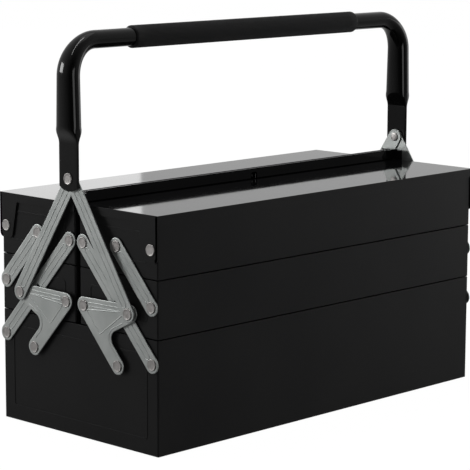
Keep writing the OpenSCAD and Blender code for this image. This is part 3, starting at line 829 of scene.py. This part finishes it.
def area_light(name, place, target, size, power):
    """A rectangular softbox at a place, facing a target, sizes in metres."""
    data = bpy.data.lights.new(name, "AREA")
    data.shape = "RECTANGLE"
    data.size, data.size_y = size
    data.energy = power
    obj = bpy.data.objects.new(name, data)
    bpy.context.scene.collection.objects.link(obj)
    obj.location = place
    back = np.array(place) - np.array(target)
    obj.rotation_euler = Vector(back.tolist()).to_track_quat("Z", "Y").to_euler()
    return obj


class TOOLBOX_OT_stage(bpy.types.Operator):
    """Makes the pale floor, the studio light and the camera"""
    bl_idname = "toolbox.stage"
    bl_label = "Stage"

    def execute(self, context):
        scene = context.scene
        sizes, colours = scene.toolbox_sizes, scene.toolbox_colours
        half = sizes.floor_size / 2
        mesh = bpy.data.meshes.new("studio_floor")
        mesh.from_pydata([(-half, -half, 0), (half, -half, 0), (half, half, 0), (-half, half, 0)],
                         [], [(0, 1, 2, 3)])
        floor = bpy.data.objects.new("studio_floor", mesh)
        scene.collection.objects.link(floor)
        material, tree, shader = new_material("matt_studio_paper")
        set_shader(shader, Base_Color=(*colours.floor, 1), Roughness=0.9, Specular_IOR_Level=0.1)
        # seen straight on, the paper is over-lit until only a trace of the shadow is left
        lit = add_node(tree, "ShaderNodeEmission", Strength=1.04)
        path = add_node(tree, "ShaderNodeLightPath")
        share = add_node(tree, "ShaderNodeMath", {0: path.outputs["Is Camera Ray"]},
                         operation="MULTIPLY", _1=0.94)
        mix = add_node(tree, "ShaderNodeMixShader",
                       {0: share.outputs[0], 1: shader.outputs[0], 2: lit.outputs[0]})
        output = next(node for node in tree.nodes if node.type == "OUTPUT_MATERIAL")
        tree.links.new(mix.outputs[0], output.inputs["Surface"])
        mesh.materials.append(material)
        floor.visible_glossy = False

        world = bpy.data.worlds.new("studio_room")
        world.use_nodes = True
        tree = world.node_tree
        tree.nodes.clear()
        seen = add_node(tree, "ShaderNodeBackground", Color=(1, 1, 1, 1), Strength=1.0)
        room = add_node(tree, "ShaderNodeBackground", Color=(*colours.room, 1))
        path = add_node(tree, "ShaderNodeLightPath")
        # the room is bright behind the box, dimmer at its two sides and dark behind the camera
        where = add_node(tree, "ShaderNodeTexCoord")
        away = add_node(tree, "ShaderNodeVectorMath", {0: where.outputs["Generated"]},
                        operation="DOT_PRODUCT", _1=ROOM_WAY)
        bright = spread(tree, away.outputs["Value"], 0.0, sizes.room_light)
        bright.node.inputs["From Min"].default_value = -0.9
        # and its lower half, which upright faces mirror, is dimmer than its upper half
        height = add_node(tree, "ShaderNodeSeparateXYZ", {0: where.outputs["Generated"]})
        lower = spread(tree, height.outputs["Z"], sizes.room_foot, 1.0)
        lower.node.inputs["From Min"].default_value = -0.05
        lower.node.inputs["From Max"].default_value = 0.05
        both = add_node(tree, "ShaderNodeMath", {0: bright, 1: lower}, operation="MULTIPLY")
        tree.links.new(both.outputs[0], room.inputs["Strength"])
        mix = add_node(tree, "ShaderNodeMixShader",
                       {0: path.outputs["Is Camera Ray"], 1: room.outputs[0], 2: seen.outputs[0]})
        add_node(tree, "ShaderNodeOutputWorld", {"Surface": mix.outputs[0]})
        scene.world = world

        for name, place, target, size, share in LIGHTS:
            area_light(name, place, target, size, share * sizes.key_power)

        data = bpy.data.cameras.new("photo_camera")
        data.sensor_fit = "HORIZONTAL"
        data.sensor_width = 36.0
        data.lens = 36.0 * FOCAL_PX / FRAME_PX
        data.clip_end = 100.0
        camera = bpy.data.objects.new("photo_camera", data)
        scene.collection.objects.link(camera)
        camera.matrix_world = camera_matrix()
        scene.camera = camera
        scene.view_settings.view_transform = "Standard"
        return {"FINISHED"}


OPERATORS = (TOOLBOX_OT_trays, TOOLBOX_OT_lids, TOOLBOX_OT_links, TOOLBOX_OT_spreaders,
             TOOLBOX_OT_rivets, TOOLBOX_OT_handle, TOOLBOX_OT_grip, TOOLBOX_OT_stage)


class TOOLBOX_PT_panel(bpy.types.Panel):
    """Lists the pieces in the 3D view's sidebar"""
    bl_idname = "TOOLBOX_PT_panel"
    bl_label = "Tool box"
    bl_space_type = "VIEW_3D"
    bl_region_type = "UI"
    bl_category = "Tool box"

    def draw(self, context):
        for group in (context.scene.toolbox_sizes, context.scene.toolbox_colours):
            for name in group.__annotations__:
                self.layout.prop(group, name)
        for operator in OPERATORS:
            self.layout.operator(operator.bl_idname)


CLASSES = (ToolBoxSizes, ToolBoxColours, *OPERATORS, TOOLBOX_PT_panel)


def register():
    """Adds the properties, the operators and the panel."""
    for cls in CLASSES:
        bpy.utils.register_class(cls)
    bpy.types.Scene.toolbox_sizes = bpy.props.PointerProperty(type=ToolBoxSizes)
    bpy.types.Scene.toolbox_colours = bpy.props.PointerProperty(type=ToolBoxColours)


def unregister():
    """Takes them away again."""
    del bpy.types.Scene.toolbox_colours
    del bpy.types.Scene.toolbox_sizes
    for cls in reversed(CLASSES):
        bpy.utils.unregister_class(cls)


def main():
    """Builds every piece and the stage."""
    register()
    bpy.ops.toolbox.trays()
    bpy.ops.toolbox.lids()
    bpy.ops.toolbox.links()
    bpy.ops.toolbox.spreaders()
    bpy.ops.toolbox.rivets()
    bpy.ops.toolbox.handle()
    bpy.ops.toolbox.grip()
    bpy.ops.toolbox.stage()


if __name__ == "__main__":
    main()
